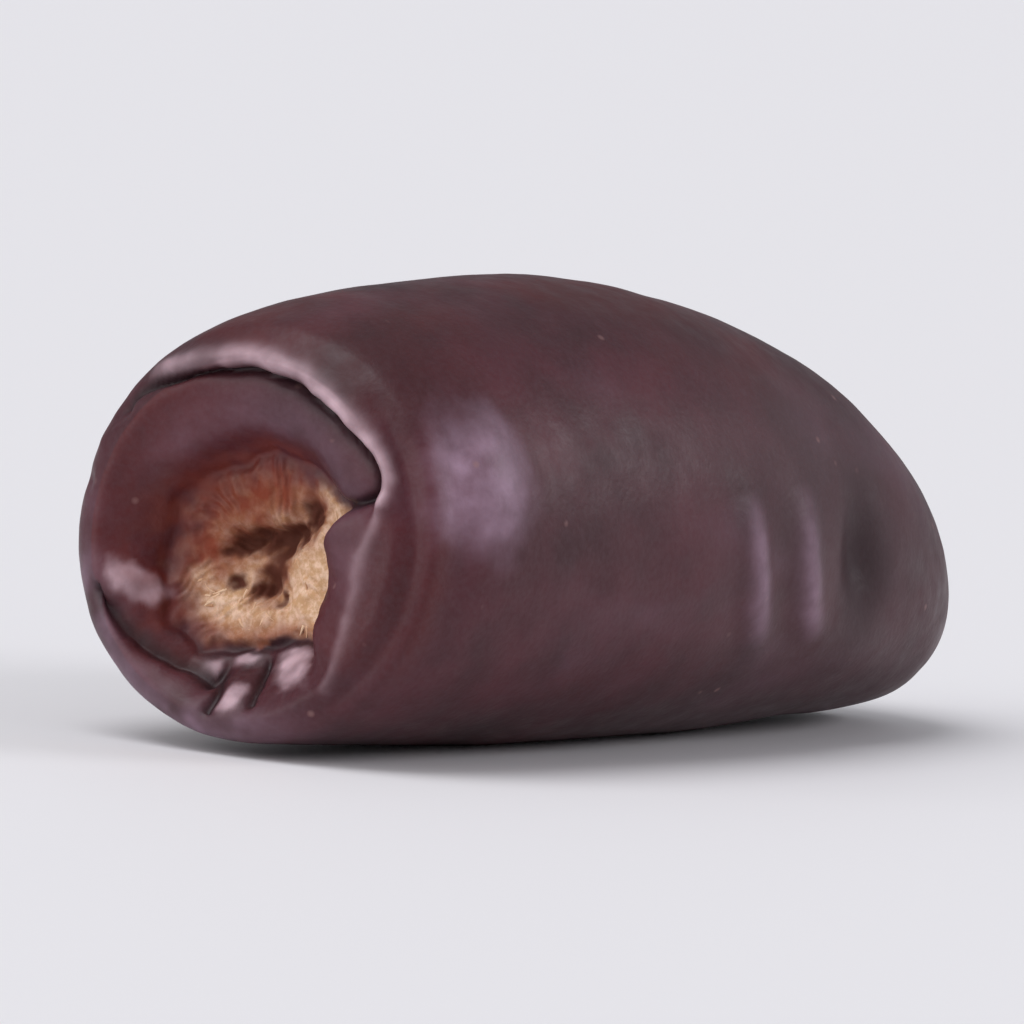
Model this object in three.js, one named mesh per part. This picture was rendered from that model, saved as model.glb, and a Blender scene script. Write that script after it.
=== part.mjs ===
// One fard date without its cap, lying on its side. Millimetres, +Z up, stem end towards -Y.
// The origin lies on the resting surface, under the middle of the fruit's bounding box.
import * as THREE from 'three';

// Driving dimensions.
const LENGTH = 41; // stem rim to tip along the middle; the leaning rim adds nearly one more
const HALF = LENGTH / 2;
const RIM_RADIUS = 6.9; // crest of the rim round the stem end
const REST_PRESS = 0.16; // how far the underside is pressed flat where it rests
const ROCKER = 0.75; // rise of the underside towards both ends
const REST_Y = -1.2; // lengthwise middle of the resting spot, under the weight

// The outline from the middle of the stem scar, over the rim, to the tip: [along the fruit, radius].
const MERIDIAN = [
  [-17.5, 0], [-17.9, 2.0], [-18.1, 3.5], [-18.6, 4.4], [-19.5, 5.2], [-20.2, 6.1],
  [-HALF, RIM_RADIUS], [-20.0, 7.9], [-18.9, 8.5], [-15.5, 9.1], [-9.0, 9.55],
  [-2.0, 9.75], [6.0, 9.2], [12.0, 8.3], [16.6, 6.7], [19.3, 4.3], [HALF, 0],
];
const RIM_STATION = 6;
// Height of the middle of the section at five even places from stem end to tip: the back is arched.
const BACK = [8.5, 8.9, 8.6, 7.2, 5.0];
// Rings in each stretch of the outline, closest at the folded stem end and where the flank is rippled.
const RINGS = [3, 3, 3, 3, 3, 3, 3, 2, 3, 3, 3, 11, 6, 3, 3, 3];
const SIDES = 96;

// The stem end faces a little aside and down, and its scar sits low and to the left in it.
const FACE_LEAN = { x: 0.1, z: 0.07, from: 7.0, over: 13.5 };
const SCAR = { x: -0.6, z: -1.1, radius: 3.8 };

// Folds on the stem end, as seen from in front of it: [right, up] from the middle of the rim.
const RIM_FOLD = [
  [-6.9, 3.9], [-6.1, 4.7], [-5.2, 5.35], [-3.7, 5.95], [-1.7, 6.3], [0.4, 6.3], [2.1, 5.75],
  [3.8, 4.8], [5.1, 3.85], [5.7, 3.1], [5.6, 2.4], [4.7, 1.95], [3.6, 1.7],
];
const RIM_BAND = [
  [-5.6, 5.75], [-4.1, 6.3], [-2.3, 6.85], [-0.4, 7.0], [1.4, 6.75],
  [3.0, 5.95], [4.6, 4.85], [5.8, 3.85], [6.25, 3.0], [6.2, 2.1],
];
const SIDE_BAND = [[6.2, 2.1], [5.95, 0.9], [5.65, -0.8], [5.35, -2.5], [4.95, -4.0], [4.5, -5.2]];
const LOWER_FOLD = [[-6.5, -2.5], [-5.7, -3.3], [-4.7, -4.1], [-3.6, -4.7], [-2.5, -5.1], [-1.5, -5.5]];
const PLEATS = [[[-1.4, -5.2], [-0.9, -5.8], [-0.7, -6.6]], [[0.2, -4.9], [0.6, -5.5], [0.9, -6.1]]];
// Low pads of skin: [right, up, reach, height].
const PADS = [[-5.3, -2.3, 0.9, 0.22], [2.0, -4.7, 1.0, 0.18], [0.0, -6.1, 0.6, 0.12]];
// Torn holes in the scar: [right, up, reach].
const HOLES = [
  [1.0, 0.75, 0.6], [0.3, 0.1, 0.55], [-0.6, -0.35, 0.55], [-2.1, -0.55, 0.5], [-0.7, -2.0, 0.6],
];
const HOLE_DEPTH = 0.6;
// The thick fold on the right: its height over the scar, its inner edge, and its lower and upper ends.
const WALL = { rise: 1.15, edge: [3.3, 4.2], slant: 0.07, lower: [-5.0, -3.7], upper: [1.2, 2.2] };
// The swelling under the crease, and the hollow behind the right of the rim.
const SWELLING = { radius: 5.1, reach: 0.75, rise: 0.42 };
const SADDLE = { radius: 7.6, reach: 0.6, depth: 0.42 };

// Shallow forms on the flank: [along, degrees round from the right, reach along, reach round, height].
const DENTS = [
  [7.7, 3, 1.5, 2.7, -0.85], [8.6, -27, 2.6, 1.7, 0.24], [-18.6, -3, 1.2, 4.2, -0.3],
  [-16.2, 20, 1.7, 2.6, 0.26], [-9.5, 165, 4.5, 3.2, -0.4], [2.0, 196, 6.5, 4.2, -0.8],
  [-10.5, 214, 4.0, 3.0, -0.4], [12.2, 212, 3.0, 2.6, -0.4], [13.5, 60, 2.8, 2.4, -0.1],
  [10.5, -68, 4.0, 2.6, -0.12], [-12.0, -60, 4.0, 3.0, -0.12],
];
// Two ripples before the dent, and long creases on the hidden side: a path of [along, degrees round],
// its width, its depth (a ripple stands up, so its depth is less than nothing) and the swelling beside it.
const CREASES = [
  { path: [[-1.0, 14], [-0.5, 0], [0.2, -14], [1.7, -29]], width: 0.9, depth: -0.3, lip: -0.08 },
  { path: [[3.0, 18], [3.2, 0], [3.9, -13], [5.3, -25]], width: 0.9, depth: -0.3, lip: -0.08 },
  { path: [[-6, 152], [0, 160], [7, 163], [13, 156]], width: 1.0, depth: 0.6, lip: 0.2 },
  { path: [[-5, 222], [1, 214], [7, 216]], width: 0.95, depth: 0.45, lip: 0.15 },
  { path: [[4, 136], [8.5, 140], [12, 137]], width: 0.95, depth: 0.35, lip: 0.12 },
];
const TIP_PIT = { radius: 0.9, depth: 0.45 };

const clamp01 = (v) => Math.min(1, Math.max(0, v));
const smoothstep = (a, b, v) => THREE.MathUtils.smoothstep(v, a, b);
const bell = (distance, reach) => Math.exp(-((distance / reach) ** 2));
const softMin = (a, b, blend) => (a + b - Math.hypot(a - b, blend)) / 2;

const curveOf = (points) => new THREE.SplineCurve(points.map(([a, b]) => new THREE.Vector2(a, b)));
const meridian = curveOf(MERIDIAN);
const back = curveOf(BACK.map((height, i) => [i / (BACK.length - 1), height]));

// A path through the points without corners.
const curved = (points, steps = 36) => curveOf(points).getPoints(steps).map(({ x, y }) => [x, y]);

// Distance from a point to an open path, and how far along the path the nearest place is, from 0 to 1.
function alongPath([px, py], path) {
  let distance = Infinity;
  let reached = 0;
  for (let i = 0; i + 1 < path.length; i++) {
    const [ax, ay] = path[i];
    const [bx, by] = path[i + 1];
    const lengthSq = (bx - ax) ** 2 + (by - ay) ** 2;
    const share = clamp01(((px - ax) * (bx - ax) + (py - ay) * (by - ay)) / lengthSq);
    const here = Math.hypot(px - ax - share * (bx - ax), py - ay - share * (by - ay));
    if (here < distance) [distance, reached] = [here, (i + share) / (path.length - 1)];
  }
  return { distance, reached };
}

const rimFold = curved(RIM_FOLD);
const rimBand = curved(RIM_BAND);
const sideBand = curved(SIDE_BAND);
const lowerFold = curved(LOWER_FOLD);
const pleats = PLEATS.map((pleat) => curved(pleat, 12));

// The plain form, before folds: a point for a share of the outline and an angle round the fruit.
function plainPoint(share, angle) {
  const { x: along, y: radius } = meridian.getPoint(share);
  const r = Math.max(radius, 0);
  const middle = back.getPoint(clamp01((along / HALF + 1) / 2)).y;
  const outside = share * (MERIDIAN.length - 1) > RIM_STATION;
  const floorDrop = middle - ROCKER * ((along - REST_Y) / HALF) ** 2;
  const under = softMin(r, floorDrop, 0.5);
  const x = r * Math.cos(angle);
  const z = (Math.sin(angle) > 0 ? r : under) * Math.sin(angle);
  const inward = outside ? 0 : 1 - (r / RIM_RADIUS) ** 2;
  const lean = clamp01((-along - FACE_LEAN.from) / FACE_LEAN.over) ** 2;
  return {
    along,
    radius: r,
    outside,
    face: [x + inward * SCAR.x, z + inward * SCAR.z],
    position: new THREE.Vector3(
      x + inward * SCAR.x,
      along + lean * (FACE_LEAN.x * x + FACE_LEAN.z * z),
      middle + z + inward * SCAR.z,
    ),
  };
}

// The thick fold on the right, whose inner edge stands over the scar: 1 on the fold, 0 off it.
function sideWall(a, b) {
  const beside = smoothstep(...WALL.edge, a - WALL.slant * b);
  return beside * smoothstep(...WALL.lower, b) * (1 - smoothstep(...WALL.upper, b));
}

// The folded stem end: rolled rim, creases, pleats and the torn scar, as height above the plain form.
function faceRelief([a, b], radius) {
  const angle = Math.atan2(b, a);
  const fold = alongPath([a, b], rimFold);
  const fading = smoothstep(0, 0.3, fold.reached) * (1 - 0.5 * smoothstep(0.85, 1, fold.reached));
  let height = -fading * (0.2 * bell(fold.distance, 0.55) + 0.45 * bell(fold.distance, 0.34));
  const band = alongPath([a, b], rimBand);
  height += 0.26 * smoothstep(0, 0.1, band.reached) * bell(band.distance, 0.5);
  // Under the crease the skin swells again before it sinks to the scar.
  const upper = smoothstep(-0.1, 0.5, Math.cos(angle - 1.25));
  height += SWELLING.rise * upper * bell(radius - SWELLING.radius, SWELLING.reach);
  height += WALL.rise * sideWall(a, b) * bell(Math.max(radius - 4.5, 0), 1.3);
  height += 0.12 * bell(alongPath([a, b], sideBand).distance, 0.45);
  const right = smoothstep(0.45, 0.85, Math.cos(angle + 0.1));
  height -= SADDLE.depth * right * bell(radius - SADDLE.radius, SADDLE.reach);
  const lower = alongPath([a, b], lowerFold).distance;
  height -= 0.2 * bell(lower, 0.5) + 0.25 * bell(lower, 0.34);
  for (const pleat of pleats) height -= 0.25 * bell(alongPath([a, b], pleat).distance, 0.36);
  for (const [x, z, reach, rise] of PADS) height += rise * bell(Math.hypot(a - x, b - z), reach);
  // The scar: a groove round it, and the torn holes in its bed.
  const fromScar = Math.hypot(a - SCAR.x, b - SCAR.z);
  height -= 0.12 * bell(fromScar - SCAR.radius, 0.4) * (1 - sideWall(a, b));
  for (const [x, z, reach] of HOLES) height -= HOLE_DEPTH * bell(Math.hypot(a - x, b - z), reach);
  return height;
}

// The flank: dents, ripples and creases, as height above the plain form.
function flankRelief(along, angle, radius) {
  const arc = (degrees) => {
    const turn = angle - THREE.MathUtils.degToRad(degrees);
    return Math.atan2(Math.sin(turn), Math.cos(turn)) * radius;
  };
  let height = 0;
  for (const [y, degrees, reachY, reachRound, rise] of DENTS) {
    height += rise * Math.exp(-(((along - y) / reachY) ** 2) - ((arc(degrees) / reachRound) ** 2));
  }
  for (const { path, width, depth, lip } of CREASES) {
    // The path is unrolled round the fruit from its first point, so that it never crosses the seam opposite.
    const first = path[0][1];
    const unroll = (degrees) => arc(first) - THREE.MathUtils.degToRad(degrees - first) * radius;
    const unrolled = path.map(([y, degrees]) => [y, unroll(degrees)]);
    const { distance, reached } = alongPath([along, 0], unrolled);
    const fading = Math.sin(Math.PI * THREE.MathUtils.clamp(reached, 0.02, 0.98)) ** 0.5;
    height += fading * (lip * bell(distance - 2 * width, 1.2 * width) - depth * bell(distance, width));
  }
  return height;
}

function relief({ along, radius, face, outside }, angle) {
  const onFace = 1 - smoothstep(7.6, 8.6, outside ? radius : 0);
  const nearTip = along > 15 ? TIP_PIT.depth * bell(radius, TIP_PIT.radius) : 0;
  const front = along < -15 ? onFace : 0;
  const onFlank = outside ? smoothstep(7.0, 8.2, along > 0 ? radius + 4 : radius) : 0;
  const flank = flankRelief(along, angle, Math.max(radius, 3));
  return front * faceRelief(face, radius) + onFlank * flank - nearTip;
}

// A point of the finished surface: the plain point moved along the plain form's outward normal.
function surfacePoint(share, angle) {
  const STEP = 1e-4;
  const here = plainPoint(share, angle);
  const low = clamp01(share - STEP);
  const high = clamp01(share + STEP);
  const alongOutline = plainPoint(high, angle).position.sub(plainPoint(low, angle).position);
  const round = plainPoint(share, angle + STEP).position.sub(plainPoint(share, angle - STEP).position);
  const normal = round.lengthSq() > 1e-10
    ? new THREE.Vector3().crossVectors(alongOutline, round).normalize()
    : new THREE.Vector3(0, share < 0.5 ? -1 : 1, 0);
  return here.position.addScaledVector(normal, relief(here, angle));
}

// Shares of the outline at which the rings stand, without the two end points.
function ringShares() {
  const stretches = MERIDIAN.length - 1;
  const shares = [];
  RINGS.forEach((count, stretch) => {
    for (let i = 0; i < count; i++) shares.push((stretch + i / count) / stretches);
  });
  return shares.slice(1);
}

function fruitGeometry() {
  const rings = ringShares();
  const points = [surfacePoint(0, 0)];
  for (const share of rings) {
    for (let side = 0; side < SIDES; side++) points.push(surfacePoint(share, (2 * Math.PI * side) / SIDES));
  }
  points.push(surfacePoint(1, 0));

  const faces = [];
  const at = (ring, side) => 1 + ring * SIDES + (side % SIDES);
  const last = points.length - 1;
  for (let side = 0; side < SIDES; side++) {
    faces.push(0, at(0, side), at(0, side + 1));
    for (let ring = 0; ring + 1 < rings.length; ring++) {
      const [a, b, c, d] = [at(ring, side), at(ring + 1, side), at(ring + 1, side + 1), at(ring, side + 1)];
      faces.push(a, b, c, a, c, d);
    }
    faces.push(at(rings.length - 1, side), last, at(rings.length - 1, side + 1));
  }

  // Set down on z = 0 with the resting spot pressed flat, and centred over the origin.
  const box = new THREE.Box3().setFromPoints(points);
  const middle = box.getCenter(new THREE.Vector3());
  const floor = box.min.z + REST_PRESS;
  const places = points.flatMap((p) => [p.x - middle.x, p.y - middle.y, Math.max(p.z - floor, 0)]);
  const geometry = new THREE.BufferGeometry();
  geometry.setAttribute('position', new THREE.Float32BufferAttribute(places, 3));
  geometry.setIndex(faces);
  geometry.computeVertexNormals();
  return geometry;
}

const skin = new THREE.MeshStandardMaterial({ color: 0x4a2029, roughness: 0.38, metalness: 0 });
const fruit = new THREE.Mesh(fruitGeometry(), skin);
fruit.name = 'date_fruit';

const date = new THREE.Group();
date.add(fruit);
export default date;
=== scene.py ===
# %% [markdown]
# # A fard date on a pale table
#
# This lesson builds one dried date as it is seen from its stem end: a dark, satin, plum-brown skin, a
# rolled rim, and inside the rim the tan, torn scar where the stem was pulled off. The CAD model gives
# the form and the size, and this script makes the fine surface over it, its colours, the light and
# the camera.

import math

import bpy
import numpy as np
from mathutils import Matrix, Vector


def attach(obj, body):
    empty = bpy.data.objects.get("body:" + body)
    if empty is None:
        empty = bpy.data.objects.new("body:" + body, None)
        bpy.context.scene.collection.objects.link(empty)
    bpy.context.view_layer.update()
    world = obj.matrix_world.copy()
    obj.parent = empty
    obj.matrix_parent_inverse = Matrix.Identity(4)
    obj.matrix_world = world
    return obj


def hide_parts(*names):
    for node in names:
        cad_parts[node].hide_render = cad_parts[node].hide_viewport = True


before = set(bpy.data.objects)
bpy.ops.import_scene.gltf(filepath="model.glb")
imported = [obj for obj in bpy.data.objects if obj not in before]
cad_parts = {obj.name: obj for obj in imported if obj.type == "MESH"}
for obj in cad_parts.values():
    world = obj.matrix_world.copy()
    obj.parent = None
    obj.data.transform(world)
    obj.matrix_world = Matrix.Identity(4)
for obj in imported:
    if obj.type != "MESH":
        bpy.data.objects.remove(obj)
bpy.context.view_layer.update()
MM = 0.001

# %% [markdown]
# ## Small tools for forms
#
# A fruit has no straight edge to measure from, so its form is a smooth curve turned round an axis and
# then pushed in and out by soft bumps. These few functions are all that takes: a smooth curve through
# points, a bell-shaped bump, a soft step, the distance to a folded line, and a smooth random field
# that is the same on every run.

# %% Curves, bumps and noise
def spline(points, share):
    """A smooth curve through evenly spaced stations, the same kind as the CAD uses."""
    p = np.asarray(points, float)
    last = len(p) - 1
    q = np.clip(np.asarray(share, float), 0, 1) * last
    i = np.minimum(np.floor(q).astype(int), last - 1)
    w = (q - i)[..., None] if p.ndim > 1 else q - i
    before, start, end = p[np.maximum(i - 1, 0)], p[i], p[i + 1]
    after = p[np.minimum(i + 2, last)]
    v0, v1 = (end - before) / 2, (after - start) / 2
    cubic = (2 * start - 2 * end + v0 + v1) * w**3
    return cubic + (-3 * start + 3 * end - 2 * v0 - v1) * w**2 + v0 * w + start


def smooth(low, high, value):
    share = np.clip((value - low) / (high - low), 0, 1)
    return share * share * (3 - 2 * share)


def bell(distance, reach):
    return np.exp(-((distance / reach) ** 2))


def curved(points, steps=36):
    """A path through the points without corners."""
    return [tuple(spline(points, i / steps)) for i in range(steps + 1)]


def along_path(px, py, path):
    """Distance from each point to an open path, and how far along the path the nearest place is, 0 to 1."""
    nearest, reached = np.full(np.shape(px), np.inf), np.zeros(np.shape(px))
    for i, ((ax, ay), (bx, by)) in enumerate(zip(path, path[1:])):
        length2 = (bx - ax) ** 2 + (by - ay) ** 2
        share = np.clip(((px - ax) * (bx - ax) + (py - ay) * (by - ay)) / length2, 0, 1)
        distance = np.hypot(px - ax - share * (bx - ax), py - ay - share * (by - ay))
        reached = np.where(distance < nearest, (i + share) / (len(path) - 1), reached)
        nearest = np.minimum(nearest, distance)
    return nearest, reached


def path_distance(px, py, path):
    return along_path(px, py, path)[0]


def inside(px, py, outline):
    """True where a point lies inside a closed outline."""
    result = np.zeros(np.shape(px), bool)
    for (ax, ay), (bx, by) in zip(outline, outline[1:] + outline[:1]):
        if ay != by:
            crosses = (ay > py) != (by > py)
            result ^= crosses & (px < ax + (py - ay) * (bx - ax) / (by - ay))
    return result


LATTICE = np.random.default_rng(7).random((32, 32, 32))


def noise(points, scale, seed=0):
    """A smooth random field from -1 to 1 with lumps about `scale` mm across."""
    q = points / scale + 17.3 * (seed + 1)
    cell = np.floor(q).astype(int)
    w = q - cell
    w = w * w * (3 - 2 * w)
    total = np.zeros(len(points))
    for dx in (0, 1):
        for dy in (0, 1):
            for dz in (0, 1):
                corner = LATTICE[(cell[:, 0] + dx) % 32, (cell[:, 1] + dy) % 32, (cell[:, 2] + dz) % 32]
                total += corner * abs(1 - dx - w[:, 0]) * abs(1 - dy - w[:, 1]) * abs(1 - dz - w[:, 2])
    return 2 * total - 1


def layered_noise(points, scale, seed=0, layers=3):
    total = sum(noise(points, scale / 2**i, seed + i) / 2**i for i in range(layers))
    return total / (2 - 2.0 ** (1 - layers))


print("tools ready")

# %% [markdown]
# ## The plain form
#
# A fard date is about twice as long as it is wide, with an arched back, a flat belly where it lies,
# and a shallow hollow at the stem end. The outline below runs from the middle of the hollow, over the
# rim and along the fruit to the tip. It is turned round a curved middle line, and the belly is eased
# onto the table. A modeller could push a sphere into this form by hand, but these numbers are the
# CAD's own, so the fine surface lies on the CAD's solid.

# %% Outline and sections
HALF = 20.5  # half the length from rim to tip, in mm, as every length here
RIM_RADIUS = 6.9  # crest of the rim round the stem end
RIM_STATION = 6  # the outline's station that is the crest
ROCKER = 0.75  # rise of the belly towards both ends
REST_Y = -1.2  # lengthwise middle of the resting spot
# The outline from the middle of the scar, over the rim, to the tip: (along the fruit, radius).
MERIDIAN = [
    (-17.5, 0), (-17.9, 2.0), (-18.1, 3.5), (-18.6, 4.4), (-19.5, 5.2), (-20.2, 6.1),
    (-HALF, RIM_RADIUS), (-20.0, 7.9), (-18.9, 8.5), (-15.5, 9.1), (-9.0, 9.55),
    (-2.0, 9.75), (6.0, 9.2), (12.0, 8.3), (16.6, 6.7), (19.3, 4.3), (HALF, 0),
]
# Height of the section's middle at five even places from the stem end to the tip.
BACK = [8.5, 8.9, 8.6, 7.2, 5.0]
# The stem end faces a little to the right and up, and the scar sits low and to the left in it.
LEAN_X, LEAN_Z, LEAN_FROM, LEAN_OVER = 0.1, 0.07, 7.0, 13.5
SCAR_X, SCAR_Z = -0.6, -1.1
# From the plain form's own axis to the shared frame, whose origin is under the middle of the fruit.
TO_FRAME = np.array([-0.202, 0.567, -0.217])


def plain(share, angle):
    """Points of the plain form, with their place along the fruit, radius and place on the stem end."""
    curve = spline(MERIDIAN, share)
    along, radius = curve[..., 0], np.maximum(curve[..., 1], 0)
    middle = spline(BACK, (along / HALF + 1) / 2)
    outside = share * (len(MERIDIAN) - 1) > RIM_STATION
    to_table = middle - ROCKER * ((along - REST_Y) / HALF) ** 2
    under = (radius + to_table - np.hypot(radius - to_table, 0.5)) / 2
    x = radius * np.cos(angle)
    z = np.where(np.sin(angle) > 0, radius, under) * np.sin(angle)
    inward = np.where(outside, 0, 1 - (radius / RIM_RADIUS) ** 2)
    lean = np.clip((-along - LEAN_FROM) / LEAN_OVER, 0, 1) ** 2
    a, b = x + inward * SCAR_X, z + inward * SCAR_Z
    place = np.stack([a, along + lean * (LEAN_X * x + LEAN_Z * z), middle + b], axis=-1)
    return place, along, radius, outside, a, b


print("outline stations:", len(MERIDIAN))

# %% [markdown]
# ## The folded stem end
#
# When the fruit dries, the skin round the stem shrinks into a rolled rim with a sharp crease under
# it, a thick fold on one side and short pleats below. In the middle is the scar: pale plant fibres,
# torn where the stem was pulled away. Each of these is a line or an outline on the stem end, seen
# from in front, and pushes the surface in or out by a few tenths of a millimetre. Sculpting with a
# brush would do it too, but a line with a width and a depth can be read and changed by itself.

# %% Folds and scar as heights
# Paths and places are (right, up) from the middle of the rim, as seen from in front of it.
RIM_FOLD = curved([
    (-6.9, 3.9), (-6.1, 4.7), (-5.2, 5.35), (-3.7, 5.95), (-1.7, 6.3), (0.4, 6.3), (2.1, 5.75),
    (3.8, 4.8), (5.1, 3.85), (5.7, 3.1), (5.6, 2.4), (4.7, 1.95), (3.6, 1.7),
])
RIM_BAND = curved([
    (-5.6, 5.75), (-4.1, 6.3), (-2.3, 6.85), (-0.4, 7.0), (1.4, 6.75),
    (3.0, 5.95), (4.6, 4.85), (5.8, 3.85), (6.25, 3.0), (6.2, 2.1),
])
SIDE_BAND = curved([(6.2, 2.1), (5.95, 0.9), (5.65, -0.8), (5.35, -2.5), (4.95, -4.0), (4.5, -5.2)])
LOWER_FOLD = curved([(-6.5, -2.5), (-5.7, -3.3), (-4.7, -4.1), (-3.6, -4.7), (-2.5, -5.1), (-1.5, -5.5)])
PLEATS = [curved([(-1.4, -5.2), (-0.9, -5.8), (-0.7, -6.6)]), curved([(0.2, -4.9), (0.6, -5.5), (0.9, -6.1)])]
TEARS = [curved([(1.3, 1.3), (0.95, 0.6), (0.2, 0.1), (-0.7, -0.35), (-1.6, -0.4), (-2.5, -0.7)]),
         curved([(-0.3, -0.4), (-0.5, -1.3), (-0.7, -2.0)])]
# Torn holes: right, up, reach.
HOLES = [(1.05, 0.8, 0.6), (0.35, 0.05, 0.52), (-0.6, -0.35, 0.5), (-1.4, -0.3, 0.34), (-2.1, -0.55, 0.4),
         (-0.8, -2.0, 0.56), (-2.1, -1.95, 0.4), (-0.1, -2.35, 0.36)]
# The scar's own outline, and the place from which its fibres spread.
PLUG = [
    (-4.4, 0.6), (-3.7, 1.6), (-2.35, 2.4), (-0.6, 3.0), (1.1, 2.7), (2.3, 2.25), (3.1, 1.6), (3.7, 0.8),
    (3.9, -0.6), (3.8, -2.2), (3.2, -3.5), (1.2, -3.7), (-0.1, -4.1), (-1.6, -4.4), (-2.7, -4.45),
    (-3.8, -3.6), (-4.5, -2.3), (-4.7, -0.9),
]
SPREAD_X, SPREAD_Z = -0.6, -0.6
# Low pads of skin: [right, up, reach across, reach along, turn in degrees, rise].
PADS = [(-5.3, -2.3, 0.5, 1.2, 48, 0.26), (2.0, -4.7, 1.25, 0.8, -8, 0.2), (0.0, -6.1, 0.5, 0.55, 0, 0.14),
        (-0.7, -4.75, 0.5, 0.3, 0, 0.08), (-2.0, -5.1, 0.5, 0.3, 0, 0.08)]
# Small notches and a bump in the rim: right, up, reach, rise.
RIM_NOTCHES = [(-6.3, 4.4, 0.5, -0.3), (-7.7, 1.5, 0.4, -0.22), (-7.3, 3.1, 0.4, 0.1)]


def pad_bell(a, b, pad):
    """A bell over an oval pad."""
    x, z, across, length, degrees, _ = pad
    c, s = math.cos(math.radians(degrees)), math.sin(math.radians(degrees))
    u, v = (a - x) * c + (b - z) * s, -(a - x) * s + (b - z) * c
    return np.exp(-((u / across) ** 2) - (v / length) ** 2)


def plug_distance(a, b):
    """How far a point is outside the scar's outline; negative inside it."""
    distance = path_distance(a, b, PLUG + PLUG[:1])
    return np.where(inside(a, b, PLUG), -distance, distance)


def side_wall(a, b):
    """The thick fold on the right, whose inner edge stands over the scar."""
    inner_edge = 0.07 * b + 0.6 * smooth(-0.8, 1.5, b)
    return smooth(3.4, 4.1, a - inner_edge) * smooth(-5.0, -3.7, b) * (1 - smooth(1.2, 2.2, b))


def face_relief(a, b, radius, place):
    """Height of the folded stem end over the plain form."""
    angle = np.arctan2(b, a)
    upper = smooth(-0.1, 0.5, np.cos(angle - 1.25))
    to_fold, fold_share = along_path(a, b, RIM_FOLD)
    fading = smooth(0.0, 0.3, fold_share) * (1 - 0.5 * smooth(0.85, 1.0, fold_share))
    height = -fading * (0.2 * bell(to_fold, 0.5) + 0.55 * bell(to_fold, 0.17))
    to_band, band_share = along_path(a, b, RIM_BAND)
    height += 0.3 * smooth(0, 0.1, band_share) * bell(to_band, 0.4)
    # Under the crease the skin swells again before it sinks to the scar.
    height += upper * 0.42 * bell(radius - 5.1, 0.75)
    height += 1.2 * side_wall(a, b) * bell(np.maximum(radius - 4.5, 0), 1.3)
    height += 0.14 * bell(path_distance(a, b, SIDE_BAND), 0.35)
    behind = smooth(0.45, 0.85, np.cos(angle + 0.1))
    height -= 0.42 * behind * bell(radius - 7.6, 0.6)
    to_lower = path_distance(a, b, LOWER_FOLD)
    height -= 0.2 * bell(to_lower, 0.45) + 0.28 * bell(to_lower, 0.2)
    for pleat in PLEATS:
        to_pleat = path_distance(a, b, pleat)
        height -= 0.12 * bell(to_pleat, 0.35) + 0.18 * bell(to_pleat, 0.17)
    for pad in PADS:
        height += pad[-1] * pad_bell(a, b, pad)
    for x, z, reach, rise in RIM_NOTCHES:
        height += rise * bell(np.hypot(a - x, b - z), reach)
    # Fine wrinkles that run down from the rim towards the scar.
    ring = smooth(3.8, 5.0, radius) * (1 - smooth(6.0, 6.6, radius))
    wander = 1.4 * noise(place, 2.2, 5)
    height += 0.02 * ring * np.sin(angle * 34 + wander * 3) * (0.5 + 0.5 * noise(place, 1.5, 6))
    height += 0.045 * noise(place, 1.3, 7) + 0.014 * noise(place, 0.5, 14)
    return height


def scar_relief(a, b, place):
    """The torn, fibrous bed of the scar and the step at its edge."""
    edge = plug_distance(a, b) + 0.18 * noise(place, 0.8, 11)
    bed = 1 - smooth(-0.25, 0.1, edge)
    height = -0.16 * bell(edge - 0.12, 0.22) + bed * 0.1
    heading = np.arctan2(b - SPREAD_Z, a - SPREAD_X) + 0.5 * noise(place, 1.2, 18)
    strands = np.sin(heading * 26 + 4 * noise(place, 0.9, 19))
    height += bed * (0.16 * layered_noise(place, 1.2, 12) + 0.07 * noise(place, 0.3, 15))
    height += bed * 0.035 * strands * smooth(0.6, 1.6, np.hypot(a - SPREAD_X, b - SPREAD_Z))
    for tear in TEARS:
        height -= 0.3 * bed * bell(path_distance(a, b, tear) + 0.22 * noise(place, 0.45, 16), 0.5)
    for x, z, reach in HOLES:
        height -= 0.42 * bell(np.hypot(a - x, b - z) + 0.2 * noise(place, 0.4, 17), reach)
    return height


print("folds on the stem end:", 2 + len(PLEATS), "pads:", len(PADS))

# %% [markdown]
# ## Dents, ripples and creases on the flank
#
# Dry flesh sinks under the skin. Near the tip there is a dent with two low ripples in front of it,
# and the side that the photo doesn't show has the longer dents and creases that such fruit have.
# Dents are soft bells; creases are thin lines with a low swelling on both sides.

# %% Flank as heights
# Dents and swellings: along the fruit, degrees round from the right, reach along, reach round, height.
DENTS = [
    (7.7, 3, 1.5, 2.7, -0.85), (8.6, -27, 2.6, 1.7, 0.24), (-18.6, -3, 1.2, 4.2, -0.3),
    (-16.2, 20, 1.7, 2.6, 0.26), (-9.5, 165, 4.5, 3.2, -0.4), (2.0, 196, 6.5, 4.2, -0.8),
    (-10.5, 214, 4.0, 3.0, -0.4), (12.2, 212, 3.0, 2.6, -0.4), (13.5, 60, 2.8, 2.4, -0.1),
    (10.5, -68, 4.0, 2.6, -0.12), (-12.0, -60, 4.0, 3.0, -0.12),
]
# Creases: a path of (along the fruit, degrees round), then width, depth and the low swelling beside it.
CREASES = [
    ([(-6, 152), (0, 160), (7, 163), (13, 156)], 1.0, 0.6, 0.2),
    ([(-5, 222), (1, 214), (7, 216)], 0.95, 0.45, 0.15),
    ([(4, 136), (8.5, 140), (12, 137)], 0.95, 0.35, 0.12),
]
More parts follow.
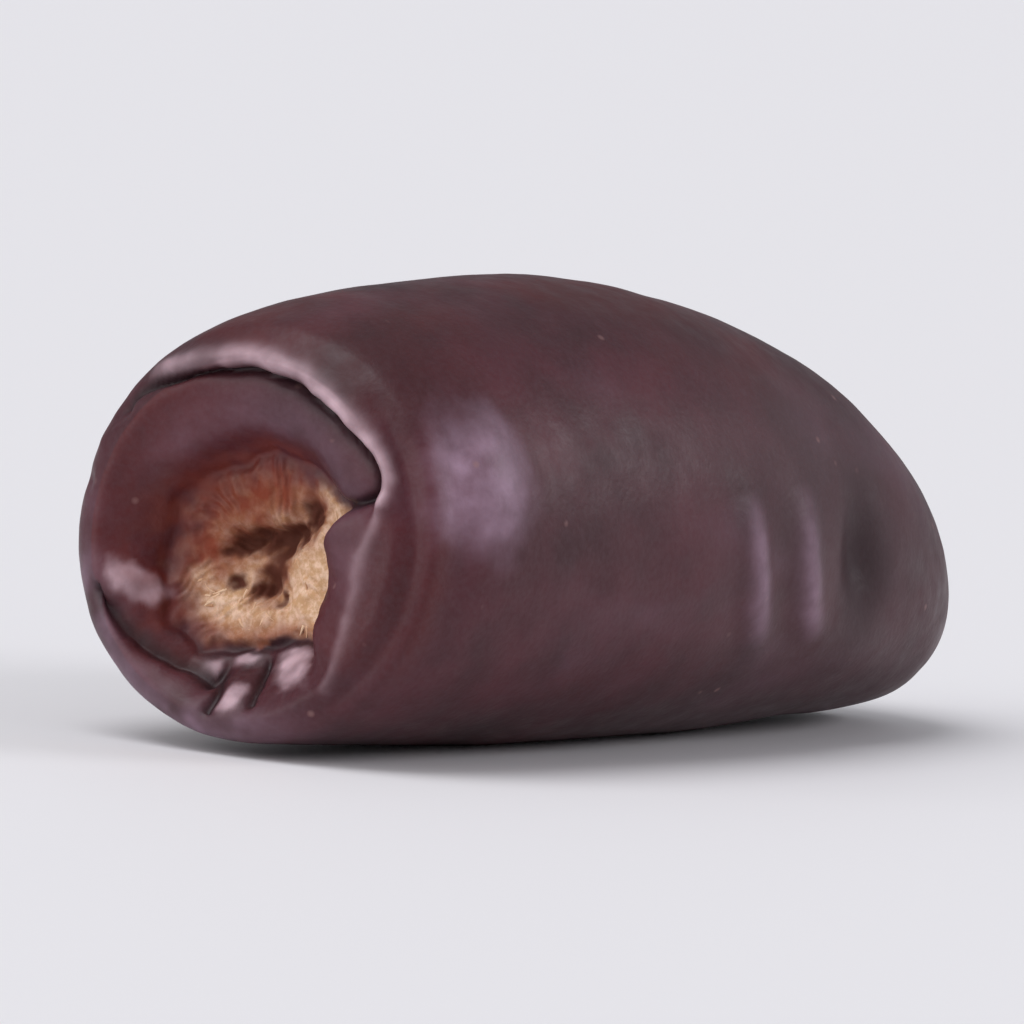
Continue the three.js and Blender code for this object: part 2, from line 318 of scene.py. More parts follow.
# The two ripples before the dent, as creases turned inside out.
RIPPLES = [
    ([(-1.0, 14), (-0.5, 0), (0.2, -14), (1.7, -29)], 0.9, -0.3, -0.08),
    ([(3.0, 18), (3.2, 0), (3.9, -13), (5.3, -25)], 0.9, -0.3, -0.08),
]
TIP_PIT_RADIUS, TIP_PIT_DEPTH = 0.9, 0.45


def arc(angle, radius, degrees):
    """How far round the skin a point is from the line at that many degrees."""
    turn = angle - np.radians(degrees)
    return np.arctan2(np.sin(turn), np.cos(turn)) * radius


def unrolled_distance(along, angle, radius, path):
    """Distance on the skin to a path of (along, degrees round), and how far along the path that is."""
    start = arc(angle, radius, path[0][1])
    nearest, reached = np.full(len(along), np.inf), np.zeros(len(along))
    for i, ((y0, d0), (y1, d1)) in enumerate(zip(path, path[1:])):
        s0, s1 = (start - np.radians(d - path[0][1]) * radius for d in (d0, d1))
        share = ((along - y0) * (y1 - y0) - s0 * (s1 - s0)) / ((y1 - y0) ** 2 + (s1 - s0) ** 2)
        share = np.clip(share, 0, 1)
        distance = np.hypot(along - y0 - share * (y1 - y0), s0 + share * (s1 - s0))
        reached = np.where(distance < nearest, (i + share) / (len(path) - 1), reached)
        nearest = np.minimum(nearest, distance)
    return nearest, reached


def flank_relief(along, angle, radius, place):
    """Height of the dents, creases and ripples over the plain form."""
    height = np.zeros(len(along))
    for y, degrees, reach_y, reach_round, rise in DENTS:
        height += rise * bell(along - y, reach_y) * bell(arc(angle, radius, degrees), reach_round)
    for path, width, depth, lip in CREASES + RIPPLES:
        nearest, reached = unrolled_distance(along, angle, radius, path)
        ends = np.sin(np.pi * np.clip(reached, 0.02, 0.98)) ** 0.5
        height += ends * (lip * bell(nearest - 2 * width, 1.2 * width) - depth * bell(nearest, width))
    # Low waves of the shrunken skin, and faint grain.
    height += 0.07 * noise(place, 4.5, 21) + 0.03 * noise(place, 1.8, 22) + 0.008 * noise(place, 0.6, 23)
    return height


print("dents:", len(DENTS), "creases:", len(CREASES))

# %% [markdown]
# ## The skin as one closed surface
#
# Rings of points run round the fruit from the scar to the tip. They lie closest where the stem end is
# folded, because that is what the eye goes to. Each point of the plain form is moved along its normal
# by the sum of the heights, and the belly is pressed flat on the table, as the fruit's own weight
# does it.

# %% Build the surface
# Rings in each stretch of the outline, and points round each ring.
RINGS = [18, 14, 9, 11, 10, 8, 10, 11, 16, 24, 25, 28, 22, 19, 15, 17]
SIDES = 384
# Folds lie in front of the first of these places along the fruit, and the tip's pit behind the second.
FRONT_END, TIP_START = -15, 15


def ring_shares():
    stretches = len(MERIDIAN) - 1
    shares = [(stretch + i / count) / stretches for stretch, count in enumerate(RINGS) for i in range(count)]
    return np.array(shares[1:])


def grid_points():
    """Share of the outline and angle of every point: the scar's middle, then the rings, then the tip."""
    shares = ring_shares()
    angles = 2 * np.pi * np.arange(SIDES) / SIDES
    share = np.concatenate([[0], np.repeat(shares, SIDES), [1]])
    angle = np.concatenate([[0], np.tile(angles, len(shares)), [0]])
    return share, angle, len(shares)


def outward(share, angle):
    """The plain form's outward normal, from two small steps."""
    step = 1e-4
    lengthwise = plain(np.clip(share + step, 0, 1), angle)[0] - plain(np.clip(share - step, 0, 1), angle)[0]
    round_it = plain(share, angle + step)[0] - plain(share, angle - step)[0]
    normal = np.cross(lengthwise, round_it)
    normal[0], normal[-1] = (0, -1, 0), (0, 1, 0)
    return normal / np.linalg.norm(normal, axis=1, keepdims=True)


share, angle, ring_count = grid_points()
place, along, radius, outside, flat_x, flat_z = plain(share, angle)
# No fold on a grown thing runs quite true: the stem end's lines wander by about a tenth of a millimetre.
face_x = flat_x + 0.09 * noise(place, 1.3, 8) + 0.05 * noise(place, 0.5, 9)
face_z = flat_z + 0.09 * noise(place, 1.3, 10) + 0.05 * noise(place, 0.5, 13)
on_front = along < FRONT_END
on_face = np.where(on_front, 1 - smooth(7.6, 8.6, np.where(outside, radius, 0)), 0)
on_flank = np.where(outside, smooth(7.0, 8.2, np.where(along > 0, radius + 4, radius)), 0)
height = on_face * face_relief(face_x, face_z, radius, place)
height += np.where(on_front & ~outside, scar_relief(face_x, face_z, place), 0)
height += on_flank * flank_relief(along, angle, np.maximum(radius, 3), place)
height -= np.where(along > TIP_START, TIP_PIT_DEPTH * bell(radius, TIP_PIT_RADIUS), 0)
surface = place + outward(share, angle) * height[:, None] + TO_FRAME
surface[:, 2] = np.maximum(surface[:, 2], 0)


def grid_faces():
    sides = np.arange(SIDES)
    after = (sides + 1) % SIDES
    ring = 1 + SIDES * np.arange(ring_count - 1)[:, None]
    quads = np.stack([ring + sides, ring + SIDES + sides, ring + SIDES + after, ring + after], axis=-1)
    last = 1 + SIDES * ring_count
    tip = last - SIDES
    caps = [(0, 1 + s, 1 + e) for s, e in zip(sides, after)]
    caps += [(tip + s, last, tip + e) for s, e in zip(sides, after)]
    return quads.reshape(-1, 4).tolist() + caps


def add_mesh(name, points_mm, faces):
    mesh = bpy.data.meshes.new(name)
    mesh.from_pydata((np.asarray(points_mm) * MM).tolist(), [], faces)
    mesh.polygons.foreach_set("use_smooth", [True] * len(mesh.polygons))
    mesh.update()
    thing = bpy.data.objects.new(name, mesh)
    bpy.context.scene.collection.objects.link(thing)
    return thing


skin = add_mesh("skin", surface, grid_faces())
skin.data.calc_loop_triangles()
print("skin triangles:", len(skin.data.loop_triangles))

# %% [markdown]
# ## Where the scar's colours go
#
# The colours of a date follow its form: purple on the firm shoulders, red where the skin is thin over
# a fold and grey-brown where it is dull. Creases are painted nearly black as shade, and crests are
# painted pale, partly as wax and partly as a highlight.
# Each of these is stored as a number between 0 and 1 at every point of the surface, worked out from
# the same lines as the form. A painted picture could hold them too, but it would have to be painted
# again whenever a fold moves.

# %% Masks of the scar
def add_mask(thing, name, values):
    layer = thing.data.attributes.new(name, "FLOAT", "POINT")
    layer.data.foreach_set("value", np.clip(values, 0, 1).astype(np.float32))


front = np.where(on_front, 1.0, 0.0)
in_dish = front * np.where(outside, 0, 1)
around = np.arctan2(face_z, face_x)  # direction on the stem end: 0 is right, half of pi is up
edge = plug_distance(face_x, face_z) + 0.2 * noise(place, 0.9, 31) + 0.08 * noise(place, 0.3, 32)
upper_left = smooth(-0.5, 0.5, np.cos(around - 2.4))
# At its upper left the scar has no clear edge: it runs out into the thin skin beside it.
frayed_edge = edge + 0.3 * upper_left * noise(place, 0.5, 45)
scar = 1 - smooth(-0.16 - 1.2 * upper_left, 0.1 + 0.15 * upper_left, frayed_edge)
scar *= in_dish * (1 - smooth(0.05, 0.3, side_wall(face_x, face_z)))
# Torn flesh is darker brown, and painted shade makes the tears and holes darker still.
to_tear = np.min([path_distance(face_x, face_z, tear) for tear in TEARS], axis=0)
ragged = 0.22 * noise(place, 0.45, 16) + 0.1 * noise(place, 0.2, 20)
torn_flesh_and_shade = 0.85 * bell(to_tear + ragged, 0.46)
for x, z, reach in HOLES:
    torn_flesh_and_shade = np.maximum(torn_flesh_and_shade, bell(np.hypot(face_x - x, face_z - z) + ragged, reach))
torn_flesh_and_shade = scar * smooth(0.2, 0.85, torn_flesh_and_shade + 0.25 * noise(place, 0.3, 40))

# The upper left of the scar is stained orange-brown, and so is the thin skin next to it.
stain = smooth(-0.7, 1.0, (face_z + 0.2) * 0.8 - (face_x + 0.6) * 0.62 + 0.9 * layered_noise(place, 1.2, 33))
low_left = smooth(-0.2, 0.7, np.cos(around + 2.5))
stain = np.maximum(stain, bell(edge, 0.35 + 0.5 * low_left) * (0.6 + 0.3 * low_left))
stain = in_dish * np.maximum(stain, 0.95 * bell(to_tear + ragged, 0.85))
embers = smooth(-0.6, 0.5, layered_noise(place, 0.9, 36))
ember = in_dish * upper_left * bell(np.maximum(edge + 0.2, 0), 1.05) * embers
print("points on the scar:", int(np.sum(scar > 0.5)))

# %% [markdown]
# ## Painted shade in creases, wax and painted highlight on crests
#
# Shade is painted nearly black into the creases of the rim and the lower fold, into the pleats, and
# along the lower right edge of the scar. The rim's crest, a thinner line down its right side and the
# pads below the scar are painted pale: partly rubbed wax, and partly painted highlight.

# %% Masks of painted shade, wax and painted highlight
to_fold, fold_share = along_path(face_x, face_z, RIM_FOLD)
to_fold = to_fold + 0.3 * (1 - smooth(0, 0.12, fold_share))
to_creases = np.minimum(to_fold, path_distance(face_x, face_z, LOWER_FOLD))
for pleat in PLEATS:
    to_creases = np.minimum(to_creases, 1.3 * path_distance(face_x, face_z, pleat))
# Painted shade: the creases, the lower fold and the pleats are painted nearly black.
painted_shade = front * on_face * bell(to_creases, 0.26)
lower_right = smooth(-0.3, 0.5, np.cos(around + 0.9))
# Painted shadow along the lower right edge of the scar, under the thick fold.
painted_shade = np.maximum(painted_shade, 0.7 * in_dish * bell(edge - 0.2, 0.2) * lower_right)

to_band, band_share = along_path(face_x, face_z, RIM_BAND)
to_side, side_share = along_path(face_x, face_z, SIDE_BAND)
band_width = 0.37 - 0.16 * smooth(0.55, 1.0, band_share)
# Pale wax and a painted highlight: a bright band along the rim's crest, a thinner line down its right side,
# and the pads below the scar.
wax_and_highlight = bell(to_band, band_width) * smooth(0, 0.12, band_share)
wax_and_highlight = np.maximum(wax_and_highlight, 0.4 * bell(to_side, 0.22) * (1 - 0.5 * side_share))
for pad in PADS:
    on_pad = pad_bell(face_x, face_z, pad) + 0.3 * layered_noise(place, 0.6, 39)
    wax_and_highlight = np.maximum(wax_and_highlight, smooth(0.2, 0.75, on_pad))
wax_and_highlight = front * on_face * wax_and_highlight * (1 - 0.8 * smooth(0.3, 0.8, painted_shade)) * (0.85 + 0.3 * noise(place, 0.5, 34))
print("points on waxy crests:", int(np.sum(wax_and_highlight > 0.5)))

# %% [markdown]
# ## Sheen, painted shade, grey and red on the skin
#
# Bloom is the powdery wax that fresh fruit has. A little of it is left, and a painted highlight over it
# makes a hazy pale patch on the shoulder behind the rim and pale crests on the two ripples. Thin streaks
# of painted sheen run along the flank, with a little more on the swelling under the rim, and the lower
# left of the rim is painted pale grey as a reflection of the table. Painted shade darkens the dent near
# the tip and the top of the fruit. Towards the tip the skin is dull and greyish; on the back it is redder.

# %% Masks of sheen, painted shade, grey and red
# A painted highlight over what is left of the bloom: a hazy pale patch on the shoulder behind the rim.
SHEEN_PATCH_ALONG, SHEEN_PATCH_DEGREES = -17.0, 19
SHEEN_PATCH_REACH_ALONG, SHEEN_PATCH_REACH_ROUND = 3.0, 3.5
sheen_patch_u = (along - SHEEN_PATCH_ALONG) / SHEEN_PATCH_REACH_ALONG
sheen_patch_v = arc(angle, radius, SHEEN_PATCH_DEGREES) / SHEEN_PATCH_REACH_ROUND
from_sheen_patch = np.hypot(sheen_patch_u, sheen_patch_v) + 0.25 * layered_noise(place, 1.6, 44)
bloom_and_sheen = np.where(outside, 1 - smooth(0.3, 1.15, from_sheen_patch), 0)
# Thin streaks of painted sheen along the flank.
sheen_streaks = smooth(0.0, 0.7, layered_noise(place * [1, 0.5, 1], 3.5, 43))
sheen_streaks *= smooth(-14, -9, along) * smooth(0.9, 0.5, np.sin(angle))
bloom_and_sheen = np.maximum(bloom_and_sheen, np.where(outside, 0.16 * sheen_streaks, 0))
# A little painted sheen on the swelling under the rim's crease.
swelling_sheen = in_dish * bell(radius - 5.3, 0.8) * smooth(-0.3, 0.4, np.cos(around - 1.2)) * (1 - scar)
bloom_and_sheen = np.maximum(bloom_and_sheen, 0.2 * swelling_sheen)
# A painted reflection of the table, pale and grey, on the lower left of the rim.
lip = front * bell(radius - 7.7, 1.2) * smooth(0.3, 0.9, np.cos(around - 4.1))
bloom_and_sheen = np.maximum(bloom_and_sheen, 0.7 * lip * smooth(-0.6, 0.4, layered_noise(place, 1.5, 41)))
# Painted highlight on the crests of the two ripples.
for path, _, _, _ in RIPPLES:
    nearest, reached = unrolled_distance(along, angle, radius, path)
    crest_highlight = 0.9 * bell(nearest, 0.62) * np.sin(np.pi * reached)
    bloom_and_sheen = np.maximum(bloom_and_sheen, np.where(along > -5, crest_highlight, 0))
bloom_and_sheen = bloom_and_sheen * (0.8 + 0.35 * layered_noise(place, 0.8, 38))
# Painted shade in the dent near the tip, darkest a little nearer to the tip than the dent is deepest.
DENT_SHADE_SHIFT = 0.4
dent_y, dent_degrees, dent_reach_y, dent_reach_round, _ = DENTS[0]
dent_u = (along - dent_y - DENT_SHADE_SHIFT) / dent_reach_y
dent_v = arc(angle, radius, dent_degrees) / dent_reach_round
painted_dent_shade = np.exp(-((0.6 * (dent_u**2 + dent_v**2)) ** 1.5))
painted_shade = np.maximum(painted_shade, np.where(outside, 0.75 * painted_dent_shade, 0))

# Grey-brown skin towards the tip; on the lower left of the rim the same grey is a painted reflection of the
# table.
grey_skin_and_reflection = smooth(-6, 3, along) * 0.85
grey_skin_and_reflection = np.maximum(grey_skin_and_reflection, front * smooth(0.35, 0.95, np.cos(around - 4.05)) * smooth(6.0, 7.0, radius))
grey_skin_and_reflection = grey_skin_and_reflection * (0.68 + 0.5 * layered_noise(place, 4, 35))
top = smooth(0.5, 0.95, np.sin(angle)) * np.where(outside, 1, 0)
# Painted shade over the top of the fruit, in patches, fading towards the tip.
painted_top_shade = top * smooth(-0.7, 0.3, layered_noise(place, 4, 42)) * smooth(15, 8, along)
painted_shade = np.maximum(painted_shade, 0.5 * painted_top_shade)
blush = top * smooth(-0.1, 0.5, layered_noise(place * [1, 0.6, 1], 4.5, 37)) * smooth(9, 2, along)
valley = bell(along + 19.4, 0.7) * smooth(0.7, 1, np.cos(angle)) * np.where(outside, 1, 0)
dish_red = in_dish * smooth(-0.1, 0.9, np.cos(around - 3.0)) * smooth(2.5, 4.5, radius)
blush = np.maximum(np.maximum(blush, 0.9 * valley), dish_red)
blush = np.maximum(blush, 0.55 * front * on_face * side_wall(face_x, face_z))

masks = {
    "scar": scar, "torn_flesh_and_shade": torn_flesh_and_shade, "stain": stain, "ember": ember, "painted_shade": painted_shade, "wax_and_highlight": wax_and_highlight,
    "bloom_and_sheen": bloom_and_sheen, "grey_skin_and_reflection": grey_skin_and_reflection, "blush": blush,
}
for name, values in masks.items():
    add_mask(skin, name, values)
    print(f"{name}: mean {np.mean(values):.3f}")

# %% [markdown]
# ## The skin's material
#
# The skin is thin, slightly see-through and satin: light goes a little way in and comes out red. Two
# materials with a border between them would show a hard line at the scar, so one shader carries it
# all. The masks choose between the colours, noise breaks them up, and the scar turns the same
# surface dry and matt. The grain is finer than the mesh, so it is a bump in the shader.

# %% Shader helpers
def new_material(name):
    material = bpy.data.materials.new(name)
    material.use_nodes = True
    nodes = material.node_tree.nodes
    return material, nodes, material.node_tree.links, nodes["Principled BSDF"]


def noise_node(nodes, links, where, scale, detail=3.0, roughness=0.5):
    node = nodes.new("ShaderNodeTexNoise")
    node.inputs["Scale"].default_value = scale
    node.inputs["Detail"].default_value = detail
    node.inputs["Roughness"].default_value = roughness
    links.new(where, node.inputs["Vector"])
    return node.outputs["Fac"]


def remap(nodes, links, value, low, high, to_low=0.0, to_high=1.0):
    node = nodes.new("ShaderNodeMapRange")
    for key, number in (("From Min", low), ("From Max", high), ("To Min", to_low), ("To Max", to_high)):
        node.inputs[key].default_value = number
    links.new(value, node.inputs["Value"])
    return node.outputs["Result"]


# A mix node has sockets for numbers, vectors and colours side by side. These are its colour ones.
MIX_FACTOR, MIX_FIRST, MIX_SECOND, MIX_RESULT = 0, 6, 7, 2


def mix_colour(nodes, links, factor, first, second):
    node = nodes.new("ShaderNodeMix")
    node.data_type = "RGBA"
    plug_in(links, factor, node.inputs[MIX_FACTOR])
    plug_in(links, first, node.inputs[MIX_FIRST])
    plug_in(links, second, node.inputs[MIX_SECOND])
    return node.outputs[MIX_RESULT]


def plug_in(links, value, socket):
    """Connects an output, or sets a plain number or colour."""
    if isinstance(value, bpy.types.NodeSocket):
        links.new(value, socket)
    elif isinstance(value, tuple):
        socket.default_value = (*value, 1.0)
    else:
        socket.default_value = value


def calculate(nodes, links, operation, first, second):
    node = nodes.new("ShaderNodeMath")
    node.operation = operation
    plug_in(links, first, node.inputs[0])
    plug_in(links, second, node.inputs[1])
    return node.outputs[0]


print("shader helpers ready")

# %% Colours of the skin
# Linear red, green and blue.
PLUM = (0.084, 0.017, 0.025)
PLUM_DARK = (0.046, 0.009, 0.013)
# Grey-brown skin, also used as a painted reflection of the table.
GREY_BROWN_AND_REFLECTION = (0.062, 0.030, 0.035)
BLUSH = (0.088, 0.010, 0.012)
# Painted shade: nearly black.
PAINTED_SHADE_COLOUR = (0.016, 0.004, 0.006)
# Pale wax with a painted highlight.
WAX_AND_HIGHLIGHT = (0.62, 0.43, 0.48)
# Bloom with a painted highlight and painted sheen.
BLOOM_AND_SHEEN = (0.36, 0.23, 0.31)
EMBER = (0.19, 0.032, 0.018)
CREAM = (0.84, 0.58, 0.42)
CREAM_DARK = (0.58, 0.34, 0.18)
STAIN = (0.22, 0.042, 0.018)
# Torn flesh with painted shade in the holes.
TORN_FLESH_AND_SHADE = (0.095, 0.022, 0.010)
GRAIN = (0.12, 0.07, 0.085)
SPECK = (0.30, 0.16, 0.15)

skin_look, nodes, links, skin_shader = new_material("date_skin")
where = nodes.new("ShaderNodeTexCoord").outputs["Object"]


def mask(name):
    node = nodes.new("ShaderNodeAttribute")
    node.attribute_name = name
    return node.outputs["Fac"]


# A scale is lumps per metre: clouds are about 4 mm across, the mottle 1 mm and the grain a quarter.
clouds = noise_node(nodes, links, where, 260, 4)
mottle = noise_node(nodes, links, where, 900, 4)
grain = noise_node(nodes, links, where, 4200, 3)
colour = mix_colour(nodes, links, remap(nodes, links, clouds, 0.35, 0.65), PLUM, PLUM_DARK)
colour = mix_colour(nodes, links, mask("grey_skin_and_reflection"), colour, GREY_BROWN_AND_REFLECTION)
broken = remap(nodes, links, mottle, 0.25, 0.6, 0.5, 1.0)
broken_blush = calculate(nodes, links, "MULTIPLY", mask("blush"), broken)
colour = mix_colour(nodes, links, broken_blush, colour, BLUSH)
colour = mix_colour(nodes, links, remap(nodes, links, grain, 0.35, 0.75, 0.0, 0.18), colour, GRAIN)
# Painted highlight and sheen over the bloom.
hazy_sheen = calculate(nodes, links, "MULTIPLY", mask("bloom_and_sheen"), remap(nodes, links, mottle, 0.3, 0.7, 0.5, 1.0))
colour = mix_colour(nodes, links, hazy_sheen, colour, BLOOM_AND_SHEEN)
# Pale wax and painted highlight on the crests and the pads.
waxy_highlight = calculate(nodes, links, "MULTIPLY", mask("wax_and_highlight"), remap(nodes, links, mottle, 0.3, 0.7, 0.55, 0.95))
colour = mix_colour(nodes, links, waxy_highlight, colour, WAX_AND_HIGHLIGHT)
specks = nodes.new("ShaderNodeTexVoronoi")
specks.inputs["Scale"].default_value = 620
links.new(where, specks.inputs["Vector"])
speck = remap(nodes, links, specks.outputs["Distance"], 0.05, 0.12, 1.0, 0.0)
sparse = remap(nodes, links, noise_node(nodes, links, where, 480, 1), 0.56, 0.62)
speck = calculate(nodes, links, "MULTIPLY", speck, calculate(nodes, links, "MULTIPLY", sparse, 0.5))
colour = mix_colour(nodes, links, speck, colour, SPECK)
# Painted shade in the creases, along the scar's edge, in the dent and over the top.
colour = mix_colour(nodes, links, calculate(nodes, links, "MULTIPLY", mask("painted_shade"), 0.9), colour, PAINTED_SHADE_COLOUR)
colour = mix_colour(nodes, links, calculate(nodes, links, "MULTIPLY", mask("ember"), 0.85), colour, EMBER)
fibre = noise_node(nodes, links, where, 2600, 4, 0.65)
scar_colour = mix_colour(nodes, links, remap(nodes, links, fibre, 0.4, 0.62), CREAM_DARK, CREAM)
stained = calculate(nodes, links, "MULTIPLY", mask("stain"), remap(nodes, links, mottle, 0.3, 0.6, 0.7, 1.0))
scar_colour = mix_colour(nodes, links, stained, scar_colour, STAIN)
colour = mix_colour(nodes, links, mask("scar"), colour, scar_colour)
# Torn flesh with painted shade in the tears and holes.
colour = mix_colour(nodes, links, mask("torn_flesh_and_shade"), colour, TORN_FLESH_AND_SHADE)
links.new(colour, skin_shader.inputs["Base Color"])
print("nodes for the skin's colour:", len(nodes))

# %% [markdown]
# ## The skin's finish
#
# The skin is satin and the scar is dry and matt, so the roughness follows the same masks. A little
# light passes under the skin and comes out red at a fold. The bump is only for the faint grain and
# the roughness of torn fibre: anything larger is in the form.

# %% Roughness, glow and grain
dull = remap(nodes, links, mottle, 0.3, 0.7, 0.42, 0.56)
dry = calculate(nodes, links, "MAXIMUM", mask("scar"), mask("torn_flesh_and_shade"))
roughness = calculate(nodes, links, "MAXIMUM", dull, remap(nodes, links, dry, 0.0, 1.0, 0.0, 0.8))
links.new(roughness, skin_shader.inputs["Roughness"])
skin_shader.inputs["Specular IOR Level"].default_value = 0.32
skin_shader.inputs["Subsurface Weight"].default_value = 0.06
skin_shader.inputs["Subsurface Radius"].default_value = (1.0, 0.3, 0.2)
skin_shader.inputs["Subsurface Scale"].default_value = 0.0012

bump = nodes.new("ShaderNodeBump")
bump.inputs["Strength"].default_value = 0.22
bump.inputs["Distance"].default_value = 0.00008
relief = calculate(nodes, links, "ADD", grain, calculate(nodes, links, "MULTIPLY", mottle, 1.5))
relief = calculate(nodes, links, "ADD", relief, calculate(nodes, links, "MULTIPLY", fibre, mask("scar")))
links.new(relief, bump.inputs["Height"])
links.new(bump.outputs["Normal"], skin_shader.inputs["Normal"])
skin.data.materials.append(skin_look)
print("nodes in the skin shader:", len(nodes))

# %% [markdown]
# ## Torn fibres on the scar
#
# The stem was tied to the fruit by bundles of plant fibre, and their ends stand about on the scar.
# Each fibre is a thin bent tube that starts just under the surface, lies along it and gets thinner
# towards its end. Blender's hair could make them, but plain tubes are exported just as they are.
# They are one mesh, and a fixed seed keeps them in their places.

# %% Fibres
FIBRE_COUNT = 26
FIBRE_SIDES = 5
FIBRE_STEPS = 6
FIBRE_SINK = 0.03  # how far under the surface a fibre starts
FIBRE_THINNING = 0.75  # share of its thickness that it loses towards its end
FIBRE_PALE, FIBRE_DARK = (0.82, 0.57, 0.38), (0.6, 0.32, 0.17)
AVERAGED_OVER = 0.12
random = np.random.default_rng(21)
normals = outward(share, angle)
bed = np.flatnonzero((scar > 0.9) & (plug_distance(face_x, face_z) < -0.35))
roots = bed[(stain[bed] < 0.45) & (torn_flesh_and_shade[bed] < 0.3)]
fibre_points, fibre_faces, fibre_tint = [], [], []
# A place on the stem end becomes a place in the frame by one shift, which the bed's own points show.
FACE_TO_FRAME = np.array([np.mean(surface[bed, 0] - flat_x[bed]), 0, np.mean(surface[bed, 2] - flat_z[bed])])


def surface_at(x, z):
    """The scar's bed at a place on the stem end, averaged over its nearest points."""
    weight = np.exp(-((flat_x[bed] - x) ** 2 + (flat_z[bed] - z) ** 2) / AVERAGED_OVER**2) + 1e-12
    depth = np.sum(surface[bed, 1] * weight) / np.sum(weight)
    return np.array([x, depth, z]) + FACE_TO_FRAME


for _ in range(FIBRE_COUNT):
    root = roots[random.integers(len(roots))]
    x, z = flat_x[root], flat_z[root]
    heading = math.atan2(z - SPREAD_Z, x - SPREAD_X) + random.normal(0, 0.7)
    length = random.uniform(0.3, 0.7)
    thick = random.uniform(0.04, 0.08)
    bend = random.normal(0, 0.35)
    lift = random.uniform(0.0, 0.04)
    rings = []
    for step in range(FIBRE_STEPS + 1):
        s = step / FIBRE_STEPS
        turn = heading + bend * s
        centre = surface_at(x + length * s * math.cos(turn), z + length * s * math.sin(turn))
        centre[1] += FIBRE_SINK - lift * math.sin(math.pi * s)
        ring_radius = thick * (1 - FIBRE_THINNING * s)
        side = np.array([-math.sin(turn), 0, math.cos(turn)])
        for k in range(FIBRE_SIDES):
            a = 2 * math.pi * k / FIBRE_SIDES
            rings.append(centre + ring_radius * (math.cos(a) * side + math.sin(a) * np.array([0, -1, 0])))
    base = len(fibre_points)
    fibre_points += rings
    fibre_tint += [random.uniform(0, 1)] * len(rings)
    for step in range(FIBRE_STEPS):
        for k in range(FIBRE_SIDES):
            a, b = base + step * FIBRE_SIDES + k, base + step * FIBRE_SIDES + (k + 1) % FIBRE_SIDES
            fibre_faces.append((a, b, b + FIBRE_SIDES, a + FIBRE_SIDES))
    fibre_faces.append(tuple(base + k for k in reversed(range(FIBRE_SIDES))))
    fibre_faces.append(tuple(base + FIBRE_STEPS * FIBRE_SIDES + k for k in range(FIBRE_SIDES)))

fibres = add_mesh("scar_fibres", fibre_points, fibre_faces)
add_mask(fibres, "tint", np.array(fibre_tint))
fibre_look, nodes, links, fibre_shader = new_material("scar_fibre")
tint = nodes.new("ShaderNodeAttribute")
tint.attribute_name = "tint"
fibre_colour = mix_colour(nodes, links, tint.outputs["Fac"], FIBRE_PALE, FIBRE_DARK)
links.new(fibre_colour, fibre_shader.inputs["Base Color"])
fibre_shader.inputs["Roughness"].default_value = 0.7
fibres.data.materials.append(fibre_look)
print("fibres:", FIBRE_COUNT, "faces:", len(fibre_faces))

# %% [markdown]
# ## Joining the frame
#
# The skin stands for the CAD's solid, and the fibres are part of the same fruit. Both belong to its
# one body.

# %% Ride and replace
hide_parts("date_fruit")
for piece in (skin, fibres):
    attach(piece, "root")
print("pieces:", [piece.name for piece in (skin, fibres)])

# %% [markdown]
# ## Table and light
#
# The table is pale and plain, and so wide that no edge of it shows behind the fruit. A large soft
# light above shines on the rim, over its painted bright band, a second one behind the right shoulder
# gives the broad highlight on the flank, and a weak one in front opens the hollow of the stem end.
# They are as far away as the sun, so the table is lit evenly.

# %% Floor and lights
def plain_look(name, colour, roughness):
    material, _, _, shader = new_material(name)
    shader.inputs["Base Color"].default_value = (*colour, 1)
    shader.inputs["Roughness"].default_value = roughness
    return material


TABLE_HALF = 6000
corners = [(TABLE_HALF * x, TABLE_HALF * y, 0) for x, y in ((-1, -1), (1, -1), (1, 1), (-1, 1))]
floor = add_mesh("floor", corners, [(0, 1, 2, 3)])
floor.data.materials.append(plain_look("table", (0.83, 0.82, 0.83), 0.6))


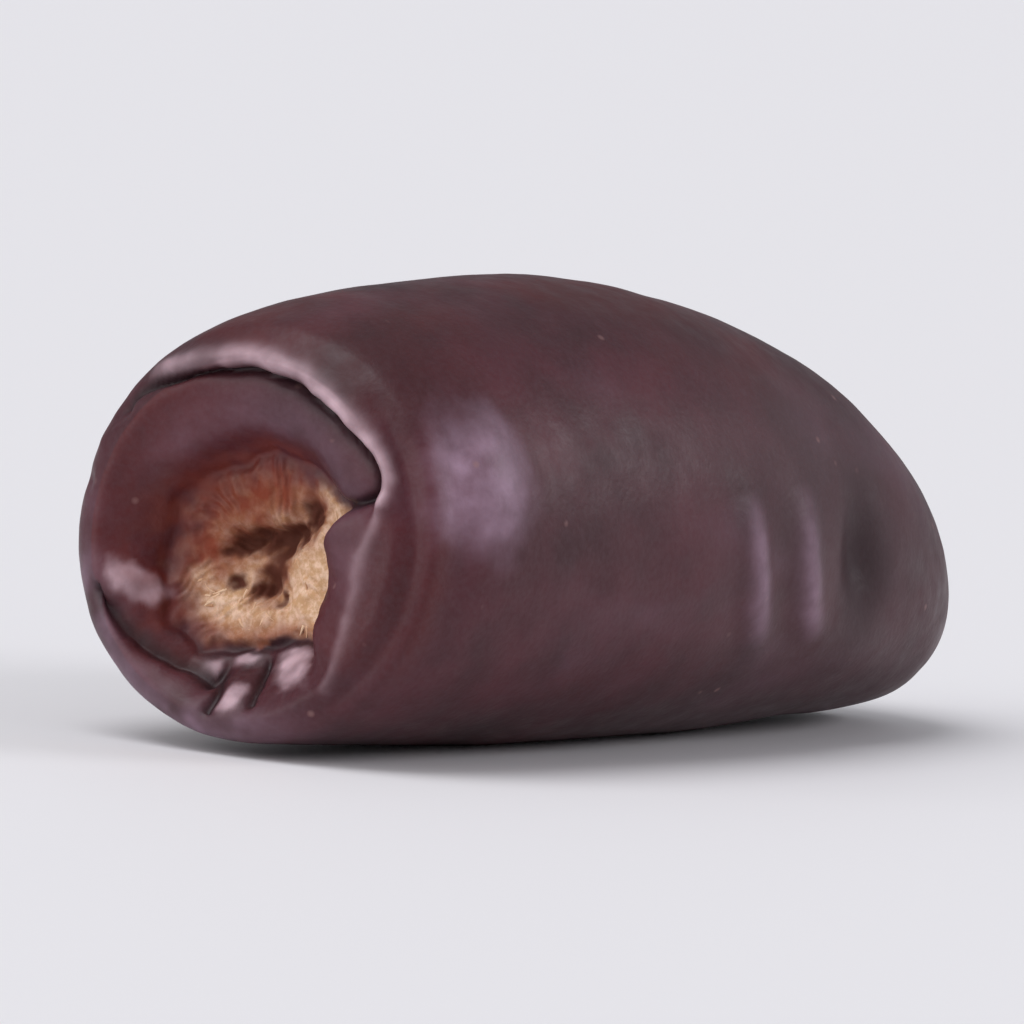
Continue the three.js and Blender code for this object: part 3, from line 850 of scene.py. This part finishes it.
def soft_light(name, direction, width_degrees, strength, colour=(1, 1, 1)):
    """A far, wide light: it looks as large as a softbox and lights the whole table evenly."""
    data = bpy.data.lights.new(name, "SUN")
    data.angle = math.radians(width_degrees)
    data.energy = strength
    data.color = colour
    lamp = bpy.data.objects.new(name, data)
    lamp.rotation_euler = Vector(direction).normalized().to_track_quat("Z", "Y").to_euler()
    bpy.context.scene.collection.objects.link(lamp)
    return lamp


soft_light("above", (-0.1, -0.35, 0.93), 40, 1.5, (0.97, 0.96, 1.0))
soft_light("right_back", (0.7, 0.57, 0.43), 24, 1.0, (0.96, 0.95, 1.0))
soft_light("front", (-0.35, -0.9, 0.4), 50, 1.0)
world = bpy.data.worlds.new("studio")
world.use_nodes = True
world.node_tree.nodes["Background"].inputs["Color"].default_value = (0.93, 0.95, 1.0, 1)
world.node_tree.nodes["Background"].inputs["Strength"].default_value = 0.36
bpy.context.scene.world = world
bpy.context.scene.view_settings.view_transform = "Standard"

# %% [markdown]
# ## The camera
#
# The photo looks at the stem end from the right and from barely above the table, with a long lens,
# and it is turned a little clockwise. The camera aims at a point inside the fruit.

# %% Camera
CAMERA_AZIMUTH = math.radians(38)
CAMERA_ELEVATION = math.radians(5)
CAMERA_ROLL = math.radians(4)
CAMERA_DISTANCE = 400 * MM
SEEN_WIDTH = 40.83 * MM
TARGET = Vector((-2.555, -0.290, 8.626)) * MM

sin_a, cos_a = math.sin(CAMERA_AZIMUTH), math.cos(CAMERA_AZIMUTH)
sin_e, cos_e = math.sin(CAMERA_ELEVATION), math.cos(CAMERA_ELEVATION)
backward = Vector((sin_a * cos_e, -cos_a * cos_e, sin_e))
rightward = Vector((cos_a, sin_a, 0))
upward = backward.cross(rightward)
tilted_right = rightward * math.cos(CAMERA_ROLL) + upward * math.sin(CAMERA_ROLL)
tilted_up = backward.cross(tilted_right)
camera_data = bpy.data.cameras.new("camera")
camera_data.sensor_width = 36
camera_data.lens = camera_data.sensor_width * CAMERA_DISTANCE / SEEN_WIDTH
camera_data.clip_start = 0.01
camera_data.clip_end = 20
camera = bpy.data.objects.new("camera", camera_data)
bpy.context.scene.collection.objects.link(camera)
turn = Matrix((tilted_right, tilted_up, backward)).transposed().to_4x4()
camera.matrix_world = Matrix.Translation(TARGET + backward * CAMERA_DISTANCE) @ turn
bpy.context.scene.camera = camera
print("lens in mm:", round(camera_data.lens))
